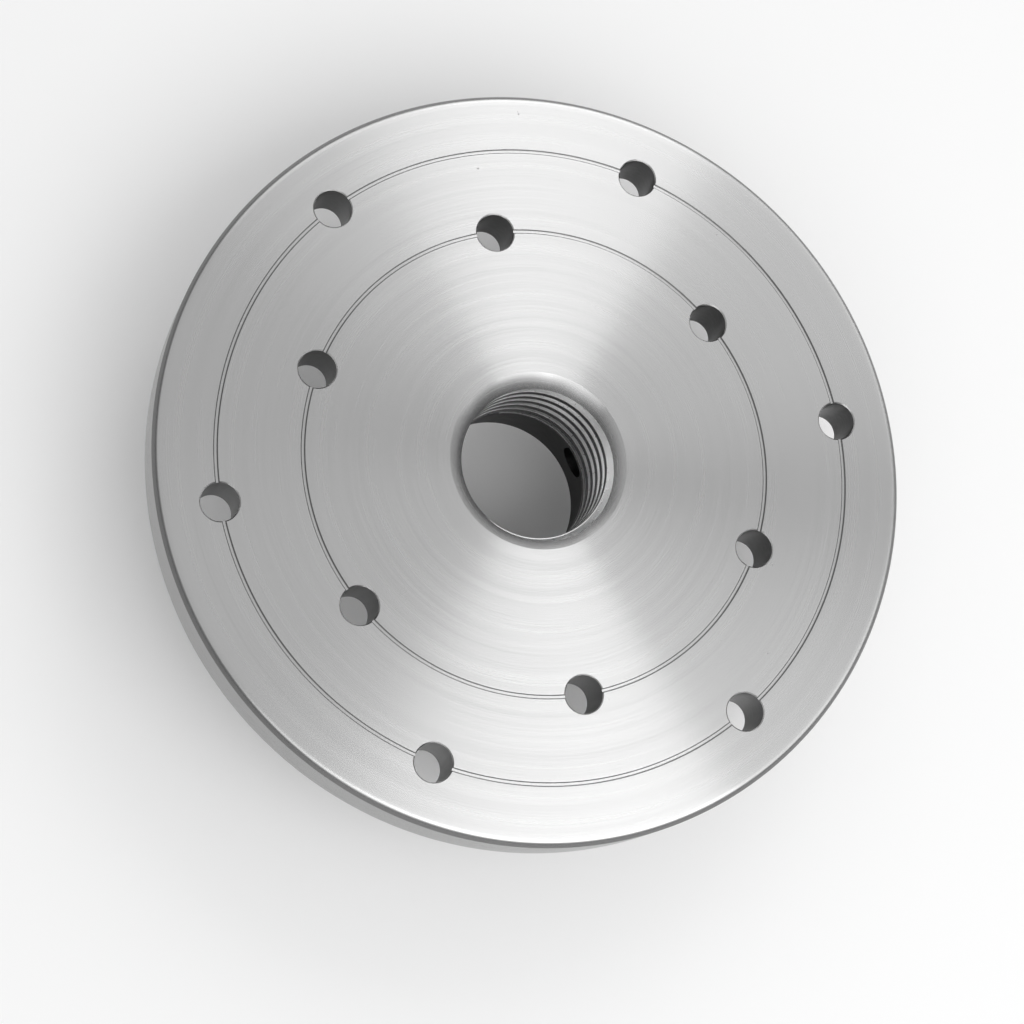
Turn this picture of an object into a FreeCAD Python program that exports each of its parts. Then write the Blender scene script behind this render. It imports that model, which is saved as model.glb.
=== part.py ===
import FreeCAD, Part
import math
import os

# Lathe faceplate, millimetres. The origin is the centre of the hub's rear
# face, which seats against the spindle's shoulder. +Z points to the work face
# and +X passes through the first hole of the outer circle.

# disc
DISC_DIA = 144.4
DISC_THICK = 11.0
RIM_CHAMFER_WIDE = 0.85
RIM_CHAMFER_DEEP = 1.2
RIM_EDGE_R = 1.3
REAR_EDGE = 0.2

# hub
HUB_DIA = 52.0
HUB_LENGTH = 24.0
HUB_EDGE = 1.0
HUB_CORNER = 1.0

# spindle thread, 1 1/4 in by 8 threads to the inch, right-handed
THREAD_MAJOR = 31.75
THREAD_PITCH = 3.175
THREAD_CORE = 28.5
CREST_DEPTH = 4.5
CREST_ANGLE = 79.0
MOUTH_CHAMFER = 2.85

# plain bore behind the thread, which runs on the spindle's register
REGISTER_CLEAR = 0.125
REGISTER_LENGTH = 14.5
REGISTER_EDGE = 0.5

# two circles of wood-screw holes, each on its own scribed ring
OUTER_CIRCLE_DIA = 121.5
INNER_CIRCLE_DIA = 89.4
HOLES_PER_CIRCLE = 6
INNER_STAGGER = 30.0
SCREW_HOLE_DIA = 7.2
SCREW_HOLE_EDGE = 0.2
SCREW_HOLE_REAR_EDGE = 0.5
SCRIBE_WIDTH = 0.6
SCRIBE_FLOOR = 0.3
SCRIBE_DEPTH = 0.2

# locking screw, 1/4 in, square across the hub into the register bore
LOCK_DIA = 6.35
LOCK_LENGTH = 7.9
LOCK_CLEAR = 0.05
LOCK_ANGLE = 15.0
LOCK_HEIGHT = 8.0
LOCK_SUNK = 0.6
LOCK_EDGE = 0.6
LOCK_CUP_DIA = 3.4
LOCK_CUP_DEPTH = 0.8
LOCK_KEY = 3.175
LOCK_KEY_DEPTH = 3.2

# worked out from the sizes above
FACE_Z = HUB_LENGTH + DISC_THICK
REGISTER_DIA = THREAD_MAJOR + 2 * REGISTER_CLEAR

UP = FreeCAD.Vector(0, 0, 1)
CENTRE = FreeCAD.Vector(0, 0, 0)


def ring_of_points(dia, count, first_angle, z):
    """Even points round a circle about the axis."""
    points = []
    for i in range(count):
        a = math.radians(first_angle + i * 360.0 / count)
        points.append(FreeCAD.Vector(dia / 2 * math.cos(a), dia / 2 * math.sin(a), z))
    return points


def revolved(outline):
    """Turn a closed outline of (radius, height) points about the axis."""
    points = [FreeCAD.Vector(r, 0, z) for r, z in outline]
    wire = Part.makePolygon(points + points[:1])
    return Part.Face(wire).revolve(CENTRE, UP, 360)


def edges_at(shape, radius, height):
    """The circles about the axis that have this radius and height."""
    found = []
    for edge in shape.Edges:
        curve = edge.Curve
        if not isinstance(curve, Part.Circle):
            continue
        if abs(curve.Radius - radius) < 1e-4 and abs(curve.Center.z - height) < 1e-4:
            found.append(edge)
    return found


def turned_blank():
    """Disc and hub turned in one piece, still without the bore."""
    disc_r = DISC_DIA / 2
    hub_r = HUB_DIA / 2
    blank = revolved([
        (0, 0),
        (hub_r - HUB_EDGE, 0),
        (hub_r, HUB_EDGE),
        (hub_r, HUB_LENGTH - HUB_CORNER),
        (hub_r + HUB_CORNER, HUB_LENGTH),
        (disc_r - REAR_EDGE, HUB_LENGTH),
        (disc_r, HUB_LENGTH + REAR_EDGE),
        (disc_r, FACE_Z - RIM_CHAMFER_DEEP),
        (disc_r - RIM_CHAMFER_WIDE, FACE_Z),
        (0, FACE_Z),
    ])
    return blank.makeFillet(RIM_EDGE_R, edges_at(blank, disc_r - RIM_CHAMFER_WIDE, FACE_Z))


def spindle_bore():
    """The bore along the axis: mouth chamfer, core of the thread, register."""
    core_r = THREAD_CORE / 2
    register_r = REGISTER_DIA / 2
    return revolved([
        (0, -1),
        (register_r + REGISTER_EDGE + 1, -1),
        (register_r, REGISTER_EDGE),
        (register_r, REGISTER_LENGTH),
        (core_r, REGISTER_LENGTH),
        (core_r, FACE_Z - MOUTH_CHAMFER),
        (core_r + MOUTH_CHAMFER + 1, FACE_Z + 1),
        (0, FACE_Z + 1),
    ])


def spindle_thread():
    """One helical groove, run out past both ends of the threaded length."""
    major_r = THREAD_MAJOR / 2
    inner_r = THREAD_CORE / 2 - 0.3
    root_half = THREAD_PITCH / 16
    mouth_half = root_half + (major_r - inner_r) * math.tan(math.radians(30))
    turns = math.ceil((FACE_Z - REGISTER_LENGTH) / THREAD_PITCH) + 2

    # the groove lies half a pitch from the crest, and starts in the register
    crest_z = FACE_Z - CREST_DEPTH
    start_z = crest_z + THREAD_PITCH / 2
    while start_z > REGISTER_LENGTH - THREAD_PITCH:
        start_z -= THREAD_PITCH

    helix = Part.makeHelix(THREAD_PITCH, turns * THREAD_PITCH, major_r)
    profile = Part.makePolygon([
        FreeCAD.Vector(major_r, 0, -root_half),
        FreeCAD.Vector(major_r, 0, root_half),
        FreeCAD.Vector(inner_r, 0, mouth_half),
        FreeCAD.Vector(inner_r, 0, -mouth_half),
        FreeCAD.Vector(major_r, 0, -root_half),
    ])
    groove = Part.Wire(helix).makePipeShell([profile], True, True)
    groove.rotate(CENTRE, UP, CREST_ANGLE)
    groove.translate(FreeCAD.Vector(0, 0, start_z))
    return groove


def scribed_ring(dia):
    """A shallow ring that marks a hole circle on the work face."""
    r = dia / 2
    return revolved([
        (r - SCRIBE_WIDTH / 2, FACE_Z),
        (r - SCRIBE_FLOOR / 2, FACE_Z - SCRIBE_DEPTH),
        (r + SCRIBE_FLOOR / 2, FACE_Z - SCRIBE_DEPTH),
        (r + SCRIBE_WIDTH / 2, FACE_Z),
        (r + SCRIBE_WIDTH / 2, FACE_Z + 1),
        (r - SCRIBE_WIDTH / 2, FACE_Z + 1),
    ])


def wood_screw_hole(at):
    """A through hole, deburred at the face and countersunk a little behind."""
    r = SCREW_HOLE_DIA / 2
    hole = revolved([
        (0, HUB_LENGTH - 1),
        (r + SCREW_HOLE_REAR_EDGE + 1, HUB_LENGTH - 1),
        (r, HUB_LENGTH + SCREW_HOLE_REAR_EDGE),
        (r, FACE_Z - SCREW_HOLE_EDGE),
        (r + SCREW_HOLE_EDGE + 1, FACE_Z + 1),
        (0, FACE_Z + 1),
    ])
    hole.translate(FreeCAD.Vector(at.x, at.y, 0))
    return hole


def to_lock_line(shape):
    """Lay a shape made along +Z from the axis onto the locking screw's line."""
    shape.rotate(CENTRE, FreeCAD.Vector(0, 1, 0), 90)
    shape.rotate(CENTRE, UP, LOCK_ANGLE)
    shape.translate(FreeCAD.Vector(0, 0, LOCK_HEIGHT))
    return shape


def make_faceplate():
    body = turned_blank()
    for cutter in (spindle_bore(), spindle_thread()):
        body = body.cut(cutter)
    for dia in (OUTER_CIRCLE_DIA, INNER_CIRCLE_DIA):
        body = body.cut(scribed_ring(dia))
    centres = ring_of_points(OUTER_CIRCLE_DIA, HOLES_PER_CIRCLE, 0, 0)
    centres += ring_of_points(INNER_CIRCLE_DIA, HOLES_PER_CIRCLE, INNER_STAGGER, 0)
    for at in centres:
        body = body.cut(wood_screw_hole(at))
    lock_hole = Part.makeCylinder(LOCK_DIA / 2 + LOCK_CLEAR, HUB_DIA / 2 + 1)
    return body.cut(to_lock_line(lock_hole))


def make_grub_screw():
    """Socket set screw with a cup point, its tip towards the spindle."""
    r = LOCK_DIA / 2
    cup_r = LOCK_CUP_DIA / 2
    outer_end = HUB_DIA / 2 - LOCK_SUNK
    tip = outer_end - LOCK_LENGTH
    screw = revolved([
        (0, tip + LOCK_CUP_DEPTH),
        (cup_r, tip),
        (r, tip + r - cup_r),
        (r, outer_end - LOCK_EDGE),
        (r - LOCK_EDGE, outer_end),
        (0, outer_end),
    ])
    corners = ring_of_points(LOCK_KEY / math.cos(math.pi / 6), 6, 0, outer_end - LOCK_KEY_DEPTH)
    key = Part.Face(Part.makePolygon(corners + corners[:1]))
    socket = key.extrude(FreeCAD.Vector(0, 0, LOCK_KEY_DEPTH + 1))
    return to_lock_line(screw.cut(socket))


os.makedirs("parts", exist_ok=True)
make_faceplate().exportStep("parts/faceplate.step")
make_grub_screw().exportStep("parts/grub_screw.step")
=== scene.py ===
import bpy
import math
from mathutils import Matrix, Vector


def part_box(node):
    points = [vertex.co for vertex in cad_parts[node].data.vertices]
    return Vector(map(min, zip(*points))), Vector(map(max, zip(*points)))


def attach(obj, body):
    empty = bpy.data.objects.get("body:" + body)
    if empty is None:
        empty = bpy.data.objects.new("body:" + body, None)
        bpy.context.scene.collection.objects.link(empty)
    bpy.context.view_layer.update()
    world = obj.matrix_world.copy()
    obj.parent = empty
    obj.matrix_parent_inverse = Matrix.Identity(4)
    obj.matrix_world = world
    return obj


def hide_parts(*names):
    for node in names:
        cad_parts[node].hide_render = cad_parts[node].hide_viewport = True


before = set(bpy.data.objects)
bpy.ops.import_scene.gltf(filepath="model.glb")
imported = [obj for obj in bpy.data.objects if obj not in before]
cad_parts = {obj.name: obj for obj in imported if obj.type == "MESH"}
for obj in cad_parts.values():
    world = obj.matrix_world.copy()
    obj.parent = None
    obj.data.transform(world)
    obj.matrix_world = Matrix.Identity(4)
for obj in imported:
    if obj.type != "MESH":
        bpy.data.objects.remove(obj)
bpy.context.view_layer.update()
print("frame loaded")

# lengths are in millimetres here and become metres where a mesh is made
mm = 0.001
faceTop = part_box("faceplate")[1][2] / mm
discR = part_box("faceplate")[1][0] / mm
exactCut = {"operation": "DIFFERENCE", "solver": "EXACT"}
sharpAngle = 28              # edges turning more than this many degrees stay crisp


class Wire:
    # one socket, so that maths on it reads as maths
    def __init__(self, bench, socket):
        self.bench = bench
        self.socket = socket

    def math(self, operation, *others):
        values = dict(enumerate((self,) + others))
        return self.bench.add("ShaderNodeMath", {"operation": operation}, values)

    def __add__(self, other): return self.math("ADD", other)
    def __radd__(self, other): return self.math("ADD", other)
    def __sub__(self, other): return self.math("SUBTRACT", other)
    def __rsub__(self, other): return self.math("MULTIPLY", -1.0).math("ADD", other)
    def __mul__(self, other): return self.math("MULTIPLY", other)
    def __rmul__(self, other): return self.math("MULTIPLY", other)
    def __truediv__(self, other): return self.math("DIVIDE", other)

    def smooth(self, low, high):   # 0 below low, 1 above high
        settings = {"interpolation_type": "SMOOTHSTEP"}
        return self.bench.add("ShaderNodeMapRange", settings, {0: self, 1: low, 2: high})

    def clamp(self):
        return self.bench.add("ShaderNodeClamp", {}, {0: self})


class Bench:
    # a node tree being built
    def __init__(self, tree):
        self.tree = tree

    def add(self, kind, settings=None, values=None, out=0):
        node = self.tree.nodes.new(kind)
        for name, value in (settings or {}).items():
            setattr(node, name, value)
        for key, value in (values or {}).items():
            socket = node.inputs[key]
            for one in value if isinstance(value, list) else [value]:
                if isinstance(one, Wire):
                    self.tree.links.new(one.socket, socket)
                else:
                    socket.default_value = one
        self.last = node
        return Wire(self, node.outputs[out]) if len(node.outputs) else None


def newShader(name):
    material = bpy.data.materials.new(name)
    material.use_nodes = True
    material.node_tree.nodes.clear()
    return material, Bench(material.node_tree)


turnedFinishAndShade = {
    "base": 0.65,                 # brightness of the bare steel
    "roughness": 0.26,
    "anisotropy": 1.0,            # stretch of the highlight across the tool marks
    "anisotropyTurn": 0.25,
    "fineRings": 5200, "broadRings": 420,     # noise steps to a metre of radius
    "wallShare": 1.7,             # how much height counts beside radius, for bands on walls
    "fineSwirl": 0.9,             # slow change of the fine rings round the axis
    "cloudScale": 38.0,
    "fineTone": 0.05, "broadTone": 0.04, "cloudTone": 0.03,
    "markStrength": 0.05, "markDepth": 0.00003, "broadMark": 0.6,
    "grainScale": 420.0, "speckPatch": 24.0, "speckCover": 0.765,
    "speckDark": 0.45, "speckRough": 0.25, "speckPit": 0.8,
    # the last four darken the colour as painted shade: scribed ring walls, rim, chamfer and mouth
    "scribeShade": 0.62, "rimShade": 0.36, "chamferShade": 0.26, "mouthShade": 0.6,
}

# walls and threads with grit: tone and roughness, each with how far the grit moves it; the thread and the
# register bore also hold painted shade, and the thread a painted highlight
drilledFinish = {
    "gritScale": 900.0, "gritDetail": 3.0, "stretch": (1.0, 1.0, 2.6),
    "tone": (0.17, 0.14), "rough": (0.42, 0.2), "bump": (0.35, 0.00006), "metallic": 1.0,
}

# the thread's colour holds painted light: a near-black crest tone as painted shade, a painted highlight on the
# flanks and painted shade in the roots
threadFinishAndShade = {
    "gritScale": 1300.0, "gritDetail": 2.0,
    "tone": (0.05, 0.08), "rough": (0.30, 0.15), "bump": (0.2, 0.00004), "metallic": 1.0,
    "flankHighlight": 0.85, "flankFrom": (0.01426, 0.01440),    # radii in metres
    "rootShade": 0.50, "rootFrom": (0.0154, 0.0158),
}

# the register bore's near-black tone is painted shade in the recess
registerFinishAndShade = {
    "gritScale": 700.0, "gritDetail": 3.0,
    "tone": (0.06, 0.03), "rough": (0.5, 0.2), "bump": (0.2, 0.00005), "metallic": 1.0,
}

oxideFinish = {
    "gritScale": 1500.0, "gritDetail": 3.0,
    "tone": (0.035, 0.03), "rough": (0.38, 0.2), "bump": (0.2, 0.00003), "metallic": 0.6,
    "blueTint": 1.05,
}


def axisPlace(b):
    # object coordinates, split into distance from the axis and x, y, z
    place = b.add("ShaderNodeTexCoord", out=3)
    x = b.add("ShaderNodeSeparateXYZ", {}, {0: place})
    y, z = (Wire(b, socket) for socket in b.last.outputs[1:3])
    return place, (x * x + y * y).math("SQRT"), x, y, z


def greyTone(b, tone, blue=None):
    return b.add("ShaderNodeCombineColor", {}, {0: tone, 1: tone, 2: tone if blue is None else blue})


def finishShader(b, values):
    b.add("ShaderNodeBsdfPrincipled", {}, values)
    b.add("ShaderNodeOutputMaterial", {}, {0: Wire(b, b.last.outputs[0])})


def scribeWalls(radius):
    # 1 on the two steep walls of each scribed ring, where shade is painted into the colour
    walls = 0
    middle = (plate["scribeHalf"] + plate["scribeFloor"]) / 2
    for ring in (plate["outerCircleR"], plate["innerCircleR"]):
        away = ((radius * 1000 - ring).math("ABSOLUTE") - middle).math("ABSOLUTE")
        walls = walls + (1 - away.smooth(0.07, 0.15))
    return walls


def turnedSteel():
    # steel with rings left by the lathe tool, all centred on the Z axis
    f = turnedFinishAndShade
    material, b = newShader("turned_steel")
    place, radius, x, y, z = axisPlace(b)
    along = radius + z * f["wallShare"]           # rings on faces, bands on walls
    swirl = b.add("ShaderNodeMath", {"operation": "ARCTAN2"}, {0: y, 1: x}) * f["fineSwirl"]
    finePlace = b.add("ShaderNodeCombineXYZ", {}, {0: along * f["fineRings"], 1: swirl})
    fine = b.add("ShaderNodeTexNoise", {"noise_dimensions": "2D"}, {
        "Vector": finePlace, "Scale": 1.0, "Detail": 2.0})
    broad = b.add("ShaderNodeTexNoise", {"noise_dimensions": "1D"}, {
        "W": along * f["broadRings"], "Scale": 1.0, "Detail": 3.0})
    cloud = b.add("ShaderNodeTexNoise", {}, {"Vector": place, "Scale": f["cloudScale"], "Detail": 4.0})

    # sparse dark specks and small stains
    grain = b.add("ShaderNodeTexNoise", {}, {
        "Vector": place, "Scale": f["grainScale"], "Detail": 2.0, "Roughness": 0.6})
    where = b.add("ShaderNodeTexNoise", {}, {"Vector": place, "Scale": f["speckPatch"], "Detail": 1.0})
    speck = grain.smooth(f["speckCover"], f["speckCover"] + 0.05) * where.smooth(0.46, 0.62)

    # painted shade on the walls of the scribed rings, on the rim and its chamfer and inside the bore's mouth,
    # each darker than the face
    face = z.smooth((faceTop - 3.2) * mm, (faceTop - 3.0) * mm)
    rim = radius.smooth((discR - 1.0) * mm, (discR - 0.65) * mm)
    chamfer = rim * z.smooth((faceTop - 1.5) * mm, (faceTop - 1.2) * mm)
    mouth = radius.smooth(plate["coreR"] * mm, (plate["coreR"] + plate["mouth"]) * mm)

    fineSwing, broadSwing, cloudSwing = fine - 0.5, broad - 0.5, cloud - 0.5
    tone = f["base"] + fineSwing * f["fineTone"] + broadSwing * f["broadTone"] + cloudSwing * f["cloudTone"]
    # painted shade on the scribed rings' walls, near the face
    tone = tone * (1 - speck * f["speckDark"]) * (1 - scribeWalls(radius) * face * f["scribeShade"])
    # painted shade on the rim and its chamfer
    tone = tone * (1 - rim * f["rimShade"] - chamfer * f["chamferShade"])
    # painted shade in the bore's mouth, darker towards the core
    tone = tone * (1 - (1 - mouth) * face * f["mouthShade"])
    rough = f["roughness"] + fineSwing * f["fineTone"] + broadSwing * f["broadTone"] + speck * f["speckRough"]
    bump = b.add("ShaderNodeBump", {}, {
        "Strength": f["markStrength"], "Distance": f["markDepth"],
        "Height": fine + broad * f["broadMark"] - speck * f["speckPit"]})
    finishShader(b, {
        "Base Color": greyTone(b, tone), "Metallic": 1.0, "Roughness": rough, "Normal": bump,
        "Anisotropic": f["anisotropy"], "Anisotropic Rotation": f["anisotropyTurn"]})
    return material


def grittySteel(name, f):
    # drilled, threaded, bored and blacked surfaces, from one of the finishes above
    material, b = newShader(name)
    place, radius = axisPlace(b)[:2]
    gritPlace = b.add("ShaderNodeMapping", {}, {0: place, 3: f["stretch"]}) if "stretch" in f else place
    grit = b.add("ShaderNodeTexNoise", {}, {
        "Vector": gritPlace, "Scale": f["gritScale"], "Detail": f["gritDetail"]})
    tone = f["tone"][0] + (grit - 0.5) * f["tone"][1]
    # painted highlight on the flanks and painted shade in the roots; the crests keep the dark base tone as
    # painted shade
    if "flankHighlight" in f:                          # bright flanks, dark crests and roots
        flank, root = radius.smooth(*f["flankFrom"]), radius.smooth(*f["rootFrom"])
        tone = tone + flank * f["flankHighlight"] - root * f["rootShade"]
    blue = tone * f["blueTint"] if "blueTint" in f else None
    bump = b.add("ShaderNodeBump", {}, {"Strength": f["bump"][0], "Distance": f["bump"][1], "Height": grit})
    finishShader(b, {
        "Base Color": greyTone(b, tone, blue), "Metallic": f["metallic"],
        "Roughness": f["rough"][0] + (grit - 0.5) * f["rough"][1], "Normal": bump})
    return material


def arcBetween(start, corner, end, steps):
    # points of a rounded corner, as a quadratic curve that leaves along both sides
    points = []
    for i in range(steps + 1):
        t = i / steps
        a = start.lerp(corner, t)
        points.append(a.lerp(corner.lerp(end, t), t))
    return points


def roundedOutline(corners):
    # corners are (radius, height) or (radius, height, rounding)
    outline = []
    count = len(corners)
    for i, spec in enumerate(corners):
        here = Vector(spec[:2])
        if len(spec) == 2:
            outline.append(here)
            continue
        before = Vector(corners[i - 1][:2])
        after = Vector(corners[(i + 1) % count][:2])
        start = here + (before - here).normalized() * spec[2]
        end = here + (after - here).normalized() * spec[2]
        outline += arcBetween(start, here, end, 6)
    return outline


def revolvedMesh(name, outline, segments):
    # turn an outline about Z; points on the axis become one pole each
    verts, faces, rings = [], [], []
    for point in outline:
        if point[0] < 1e-6:
            rings.append([len(verts)])
            verts.append((0, 0, point[1] * mm))
            continue
        rings.append(list(range(len(verts), len(verts) + segments)))
        for i in range(segments):
            a = 2 * math.pi * i / segments
            verts.append((point[0] * math.cos(a) * mm, point[0] * math.sin(a) * mm, point[1] * mm))
    for low, high in zip(rings, rings[1:] + rings[:1]):
        if len(low) == 1 and len(high) == 1:
            continue
        for i in range(segments):
            j = (i + 1) % segments
            if len(low) == 1:
                faces.append((low[0], high[j], high[i]))
            elif len(high) == 1:
                faces.append((low[i], low[j], high[0]))
            else:
                faces.append((low[i], low[j], high[j], high[i]))
    mesh = bpy.data.meshes.new(name)
    mesh.from_pydata(verts, [], faces)
    mesh.validate()
    return mesh


def newObject(name, mesh, *materials):
    thing = bpy.data.objects.new(name, mesh)
    bpy.context.scene.collection.objects.link(thing)
    for material in materials:
        mesh.materials.append(material)
    return thing


def newTree(name, inputs):
    # a Geometry Nodes tree with named inputs; returns the tree, its bench and its inputs as wires
    tree = bpy.data.node_groups.new(name, "GeometryNodeTree")
    tree.interface.new_socket("Geometry", in_out="OUTPUT", socket_type="NodeSocketGeometry")
    tree.interface.new_socket("Geometry", in_out="INPUT", socket_type="NodeSocketGeometry")
    for label, kind in inputs:
        tree.interface.new_socket(label, in_out="INPUT", socket_type="NodeSocket" + kind)
    bench = Bench(tree)
    group = tree.nodes.new("NodeGroupInput")
    wires = {socket.name: Wire(bench, socket) for socket in group.outputs if socket.name}
    return tree, bench, wires


def endTree(bench, geometry, material=None):
    geometry = bench.add("GeometryNodeRealizeInstances", {}, {0: geometry})
    if material is not None:
        geometry = bench.add("GeometryNodeSetMaterial", {}, {"Geometry": geometry, "Material": material})
    bench.add("NodeGroupOutput", {}, {0: geometry})


def runTree(thing, tree, values):
    # set the inputs by identifier, evaluate, and keep the result as a plain mesh
    modifier = thing.modifiers.new(tree.name, "NODES")
    modifier.node_group = tree
    for item in tree.interface.items_tree:
        if item.in_out == "INPUT" and item.name in values:
            modifier[item.identifier] = values[item.name]
    depsgraph = bpy.context.evaluated_depsgraph_get()
    mesh = bpy.data.meshes.new_from_object(thing.evaluated_get(depsgraph))
    thing.modifiers.clear()
    old = thing.data
    thing.data = mesh
    bpy.data.meshes.remove(old)
    return thing


def dropObject(thing):
    mesh = thing.data
    bpy.data.objects.remove(thing)
    bpy.data.meshes.remove(mesh)


plate = {
    "thick": 11.0,
    "rimWide": 0.85, "rimDeep": 1.2, "rimSoft": 0.67,
    "rearEdge": 0.2,
    "hubR": 26.0, "hubEdge": 1.0, "hubCorner": 1.0,
    "registerR": 16.0, "registerLength": 14.5, "registerEdge": 0.5,
    "coreR": 14.25, "mouth": 2.85, "mouthSlope": 35.0,
    "outerCircleR": 60.75, "innerCircleR": 44.7,
    "scribeHalf": 0.43, "scribeFloor": 0.22, "scribeDepth": 0.26,
    "segments": 384,
}

spindleThread = {
    "pitch": 3.175, "majorR": 15.875,
    "crestDepth": 4.5, "crestAngle": 79.0, "stepsPerTurn": 120,
}

screwHoles = {
    "count": 6, "radius": 3.6, "edge": 0.2, "rearEdge": 0.5, "stagger": 30.0, "segments": 72,
}

lockHole = {
    "radius": 3.225, "angle": 15.0, "height": 8.0, "segments": 64,
}


def scribeOutline(radius):
    # a shallow flat-bottomed ring in the work face, from its outside inwards
    half, floor, low = plate["scribeHalf"], plate["scribeFloor"], faceTop - plate["scribeDepth"]
    return roundedOutline([
        (radius + half + 0.25, faceTop), (radius + half, faceTop, 0.05), (radius + floor, low, 0.05),
        (radius - floor, low, 0.05), (radius - half, faceTop, 0.05), (radius - half - 0.25, faceTop),
    ])


def mouthOutline():
    # the bore's mouth, bellied a little between its edge on the face and the core
    wide = plate["mouth"]
    slope = math.radians(plate["mouthSlope"])       # at its edge on the face; it steepens inwards
    start = Vector((plate["coreR"] + wide, faceTop))
    end = Vector((plate["coreR"], faceTop - wide))
    reach = wide / (math.cos(slope) + math.sin(slope))
    corner = start - Vector((math.cos(slope), math.sin(slope))) * reach
    return arcBetween(start, corner, end, 8)


def plateBlank(steel, thread, dark):
    p = plate
    rear = faceTop - p["thick"]
    rim = [
        (p["hubR"] - 1.5, 0), (p["hubR"] - p["hubEdge"], 0, 0.15), (p["hubR"], p["hubEdge"], 0.15),
        (p["hubR"], rear - p["hubCorner"], 0.2), (p["hubR"] + p["hubCorner"], rear, 0.2),
        (p["hubR"] + 2, rear), (discR - 1.5, rear),
        (discR - p["rearEdge"], rear, 0.05), (discR, rear + p["rearEdge"], 0.05),
        (discR, faceTop - p["rimDeep"] - 0.5),
        (discR, faceTop - p["rimDeep"], 0.12), (discR - p["rimWide"], faceTop, p["rimSoft"]),
        (discR - 2.4, faceTop),
    ]
    bore = [
        (p["coreR"], p["registerLength"]),
        (p["registerR"], p["registerLength"]),
        (p["registerR"], p["registerEdge"]), (p["registerR"] + p["registerEdge"], 0),
        (p["registerR"] + 1.5, 0),
    ]
    outline = roundedOutline(rim)
    outline += scribeOutline(p["outerCircleR"]) + scribeOutline(p["innerCircleR"])
    outline += [Vector((p["coreR"] + p["mouth"] + 0.8, faceTop))] + mouthOutline()
    outline += roundedOutline(bore)
    mesh = revolvedMesh("plateBlank", outline, p["segments"])
    blank = newObject("plateBlank", mesh, steel, thread, dark)
    for face in mesh.polygons:
        x, y, z = face.center
        r = math.hypot(x, y) / mm
        if r < p["registerR"] + 0.01 and z / mm < p["registerLength"] + 0.01:
            face.material_index = 2
        elif r < p["coreR"] + 0.01:
            face.material_index = 1
    return blank


def holeCutter(steel, drilled):
    # one screw hole's cutter, with a flare that breaks both edges
    s = screwHoles
    rear = faceTop - plate["thick"]
    flare = s["radius"] + s["edge"] + 1
    outline = [
        (0, rear - 1), (s["radius"] + s["rearEdge"] + 1, rear - 1), (s["radius"], rear + s["rearEdge"]),
        (s["radius"], faceTop - s["edge"]), (flare, faceTop + 1), (0, faceTop + 1),
    ]
    mesh = revolvedMesh("holeCutter", outline, s["segments"])
    cutter = newObject("holeCutter", mesh, steel, drilled)
    for face in mesh.polygons:
        if rear + s["rearEdge"] < face.center[2] / mm < faceTop - s["edge"]:
            face.material_index = 1
    return cutter


def lockCutter(drilled):
    # a round bar from the axis out through the hub
    reach = plate["hubR"] + 1
    outline = [(0, 0), (lockHole["radius"], 0), (lockHole["radius"], reach), (0, reach)]
    mesh = revolvedMesh("lockCutter", outline, lockHole["segments"])
    mesh.transform(lockPlace())
    return newObject("lockCutter", mesh, drilled)


def lockPlace():
    # from a shape along +Z to the locking screw's line
    lift = Matrix.Translation((0, 0, lockHole["height"] * mm))
    turn = Matrix.Rotation(math.radians(lockHole["angle"]), 4, "Z")
    tip = Matrix.Rotation(math.radians(90), 4, "Y")
    return lift @ turn @ tip


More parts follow.
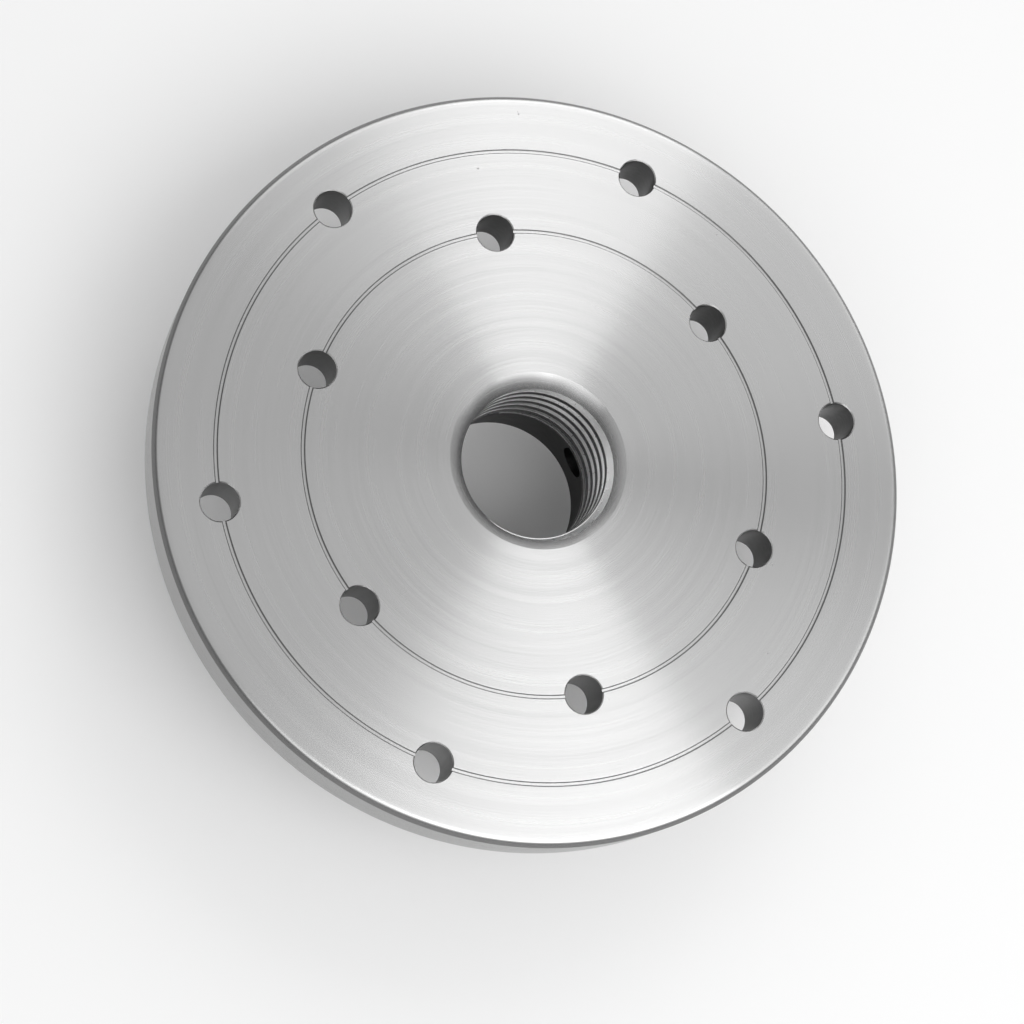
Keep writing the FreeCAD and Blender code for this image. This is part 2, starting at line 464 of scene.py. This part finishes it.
def boringTree():
    # cuts the screw holes, the thread and the lock hole out of the turned blank
    tree, b, inp = newTree("plateBoring", [
        ("Hole Cutter", "Object"), ("Lock Cutter", "Object"),
        ("Holes Per Circle", "Int"), ("Outer Circle", "Float"), ("Inner Circle", "Float"), ("Stagger", "Float"),
        ("Pitch", "Float"), ("Major Radius", "Float"), ("Core Radius", "Float"), ("Turns", "Float"),
        ("Steps", "Int"), ("Start Height", "Float"), ("Start Angle", "Float"), ("Thread Material", "Material"),
    ])
    hole = b.add("GeometryNodeObjectInfo", {}, {"Object": inp["Hole Cutter"]}, "Geometry")
    lock = b.add("GeometryNodeObjectInfo", {}, {"Object": inp["Lock Cutter"]}, "Geometry")
    circles = []
    for radius, turn in ((inp["Outer Circle"], 0.0), (inp["Inner Circle"], inp["Stagger"])):
        ring = b.add("GeometryNodeMeshCircle", {}, {"Vertices": inp["Holes Per Circle"], "Radius": radius})
        spin = b.add("ShaderNodeCombineXYZ", {}, {2: turn})
        ring = b.add("GeometryNodeTransform", {}, {"Geometry": ring, "Rotation": spin})
        circles.append(ring)
    points = b.add("GeometryNodeJoinGeometry", {}, {0: circles})
    holes = b.add("GeometryNodeInstanceOnPoints", {}, {"Points": points, "Instance": hole})
    holes = b.add("GeometryNodeRealizeInstances", {}, {0: holes})

    # the thread's groove: a trapezoid swept along a helix of the core's radius
    helix = b.add("GeometryNodeCurveSpiral", {}, {
        "Resolution": inp["Steps"], "Rotations": inp["Turns"], "Start Radius": inp["Core Radius"],
        "End Radius": inp["Core Radius"], "Height": inp["Turns"] * inp["Pitch"]})
    helix = b.add("GeometryNodeSetCurveNormal", {"mode": "Z_UP"}, {0: helix})
    deep = inp["Major Radius"] - inp["Core Radius"]
    back = deep * 0.2
    rootWide = inp["Pitch"] / 8
    backWide = rootWide + (deep + back) * (2 * math.tan(math.radians(30)))
    profile = b.add("GeometryNodeCurvePrimitiveQuadrilateral", {"mode": "TRAPEZOID"}, {
        "Bottom Width": backWide, "Top Width": rootWide, "Offset": 0.0, "Height": deep + back})
    shift = b.add("ShaderNodeCombineXYZ", {}, {1: (deep - back) / 2})
    profile = b.add("GeometryNodeTransform", {}, {"Geometry": profile, "Translation": shift})
    groove = b.add("GeometryNodeCurveToMesh", {}, {0: helix, 1: profile, "Fill Caps": True})
    move = b.add("ShaderNodeCombineXYZ", {}, {2: inp["Start Height"]})
    spin = b.add("ShaderNodeCombineXYZ", {}, {2: inp["Start Angle"]})
    groove = b.add("GeometryNodeTransform", {}, {"Geometry": groove, "Translation": move, "Rotation": spin})
    groove = b.add("GeometryNodeSetMaterial", {}, {"Geometry": groove, "Material": inp["Thread Material"]})

    body = inp["Geometry"]
    for cutter in (groove, holes, lock):
        body = b.add("GeometryNodeMeshBoolean", exactCut, {0: body, 1: cutter})
    endTree(b, body)
    return tree


def makeFaceplate(finishes):
    t = spindleThread
    blank = plateBlank(finishes["turned"], finishes["thread"], finishes["dark"])
    hole = holeCutter(finishes["turned"], finishes["drilled"])
    lock = lockCutter(finishes["drilled"])
    # the groove runs half a pitch from the crest and starts inside the register
    start = faceTop - t["crestDepth"] + t["pitch"] / 2
    while start > plate["registerLength"] - t["pitch"]:
        start -= t["pitch"]
    turns = math.ceil((faceTop - start) / t["pitch"]) + 1
    runTree(blank, boringTree(), {
        "Hole Cutter": hole, "Lock Cutter": lock,
        "Holes Per Circle": screwHoles["count"],
        "Outer Circle": plate["outerCircleR"] * mm, "Inner Circle": plate["innerCircleR"] * mm,
        "Stagger": math.radians(screwHoles["stagger"]),
        "Pitch": t["pitch"] * mm, "Major Radius": t["majorR"] * mm, "Core Radius": plate["coreR"] * mm,
        "Turns": float(turns), "Steps": t["stepsPerTurn"] * turns,
        "Start Height": start * mm, "Start Angle": math.radians(t["crestAngle"]),
        "Thread Material": finishes["thread"],
    })
    dropObject(hole)
    dropObject(lock)
    blank.name = "faceplateBody"
    finishEdges(blank.data)
    return blank


def finishEdges(mesh):
    # smooth faces between crisp edges
    mesh.shade_smooth()
    mesh.set_sharp_from_angle(angle=math.radians(sharpAngle))


grub = {
    "radius": 3.175, "length": 7.9, "sunk": 0.6, "edge": 0.6,
    "cupR": 1.7, "cupDeep": 0.8, "keyAcross": 3.175, "keyDeep": 3.2, "segments": 96,
}


def makeGrubScrew(finish):
    g = grub
    outer = plate["hubR"] - g["sunk"]
    tip = outer - g["length"]
    outline = roundedOutline([
        (0, tip + g["cupDeep"]), (g["cupR"], tip, 0.1), (g["radius"], tip + g["radius"] - g["cupR"], 0.1),
        (g["radius"], outer - g["edge"], 0.1), (g["radius"] - g["edge"], outer, 0.1), (0, outer),
    ])
    screw = newObject("grubScrew", revolvedMesh("grubScrew", outline, g["segments"]), finish)
    keyR = g["keyAcross"] / 2 / math.cos(math.pi / 6)
    key = newObject("keyCutter", revolvedMesh("keyCutter", [
        (0, outer - g["keyDeep"] - 0.6), (keyR, outer - g["keyDeep"]), (keyR, outer - 0.3),
        (keyR + 1.2, outer + 0.9), (0, outer + 0.9)], 6), finish)
    tree, b, inp = newTree("screwSocket", [("Key Cutter", "Object")])
    cutter = b.add("GeometryNodeObjectInfo", {}, {"Object": inp["Key Cutter"]}, "Geometry")
    body = b.add("GeometryNodeMeshBoolean", exactCut, {0: inp["Geometry"], 1: cutter})
    endTree(b, body, finish)
    runTree(screw, tree, {"Key Cutter": key})
    dropObject(key)
    screw.data.transform(lockPlace())
    finishEdges(screw.data)
    return screw


studio = {
    "floorGrey": 0.86, "floorLift": 0.06,
    "worldLevel": 0.56, "horizonLevel": 0.05, "horizonBand": (0.05, 0.50),
}

viewPoint = {
    "aim": (-7.1, -9.1), "azimuth": -149.05, "elevation": 70.54,
    "distance": 493.5, "roll": -49.77, "lens": 93.55,
}

lamps = [
    # name, size in mm, direction and height in degrees, distance in mm, power in watts
    ("keyPanel", (340, 420), 58.0, 46.0, 900, 0.52),
    ("lowPanel", (620, 620), 290.0, 58.0, 900, 1.7),
    ("lowSheet", (2300, 900), 286.0, 55.0, 1000, 5.2),
    ("topSheet", (1500, 600), 57.0, 44.0, 1000, 1.9),
]


def placeCamera():
    v = viewPoint
    aim = Vector((v["aim"][0], v["aim"][1], faceTop)) * mm
    a, e = math.radians(v["azimuth"]), math.radians(v["elevation"])
    back = Vector((math.cos(a) * math.cos(e), math.sin(a) * math.cos(e), math.sin(e)))
    turn = back.to_track_quat("Z", "Y").to_matrix().to_4x4() @ Matrix.Rotation(math.radians(-v["roll"]), 4, "Z")
    data = bpy.data.cameras.new("viewCamera")
    data.lens = v["lens"]
    data.sensor_width = 36
    data.clip_start = 0.01
    camera = bpy.data.objects.new("viewCamera", data)
    camera.matrix_world = Matrix.Translation(aim + back * v["distance"] * mm) @ turn
    bpy.context.scene.collection.objects.link(camera)
    bpy.context.scene.camera = camera


def placeLamps():
    for name, size, azimuth, height, distance, power in lamps:
        data = bpy.data.lights.new(name, "AREA")
        data.shape = "RECTANGLE"
        data.size, data.size_y = size[0] * mm, size[1] * mm
        data.energy = power
        a, e = math.radians(azimuth), math.radians(height)
        away = Vector((math.cos(a) * math.cos(e), math.sin(a) * math.cos(e), math.sin(e)))
        lamp = bpy.data.objects.new(name, data)
        facing = away.to_track_quat("Z", "Y").to_matrix().to_4x4()
        lamp.matrix_world = Matrix.Translation(away * distance * mm) @ facing
        bpy.context.scene.collection.objects.link(lamp)


def layFloor():
    mesh = bpy.data.meshes.new("studioFloor")
    s = 4.0                    # half its side, in metres
    corners = [(x, y, -0.0002) for x, y in ((-s, -s), (s, -s), (s, s), (-s, s))]
    mesh.from_pydata(corners, [], [(0, 1, 2, 3)])
    material, b = newShader("floor_white")
    grey = studio["floorGrey"]
    paper = b.add("ShaderNodeBsdfDiffuse", {}, {0: (grey, grey, grey, 1)})
    # what the lens, gloss and glass see is lifted towards white, the shadow stays
    lift = b.add("ShaderNodeEmission", {}, {0: (1, 1, 1, 1), 1: seenOnly(b) * studio["floorLift"]})
    both = b.add("ShaderNodeAddShader", {}, {0: paper, 1: lift})
    b.add("ShaderNodeOutputMaterial", {}, {0: both})
    floor = newObject("studioFloor", mesh, material)


def seenOnly(b):
    # 1 on rays of the camera, of gloss and of glass
    b.add("ShaderNodeLightPath")
    rays = b.last.outputs
    seen = [Wire(b, rays[name]) for name in ("Is Camera Ray", "Is Glossy Ray", "Is Transmission Ray")]
    return (seen[0] + seen[1] + seen[2]).clamp()


def lightWorld():
    # an even grey room, darker towards its horizon
    world = bpy.data.worlds.new("studioWorld")
    bpy.context.scene.world = world
    world.use_nodes = True
    world.node_tree.nodes.clear()
    b = Bench(world.node_tree)
    heading = b.add("ShaderNodeTexCoord", out=0)
    b.add("ShaderNodeSeparateXYZ", {}, {0: heading})
    height = Wire(b, b.last.outputs[2])
    low, high = studio["horizonLevel"], studio["worldLevel"]
    level = low + height.smooth(*studio["horizonBand"]) * (high - low)
    shader = b.add("ShaderNodeBackground", {}, {0: (1, 1, 1, 1), 1: level})
    b.add("ShaderNodeOutputWorld", {}, {0: shader})


finishes = {
    "turned": turnedSteel(),
    "drilled": grittySteel("drilled_steel", drilledFinish),
    "thread": grittySteel("thread_steel", threadFinishAndShade),
    # the register bore, painted near black: painted shade
    "dark": grittySteel("bore_painted_shade", registerFinishAndShade),
    "oxide": grittySteel("black_oxide", oxideFinish),
}
print("finishes made")

body = makeFaceplate(finishes)
print("faceplate bored:", len(body.data.polygons), "faces")
screw = makeGrubScrew(finishes["oxide"])
print("grub screw made")

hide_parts("faceplate")
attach(body, "root")
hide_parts("grub_screw")
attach(screw, "root")

layFloor()
lightWorld()
placeLamps()
placeCamera()
bpy.context.scene.view_settings.view_transform = "Standard"
print("stage set")
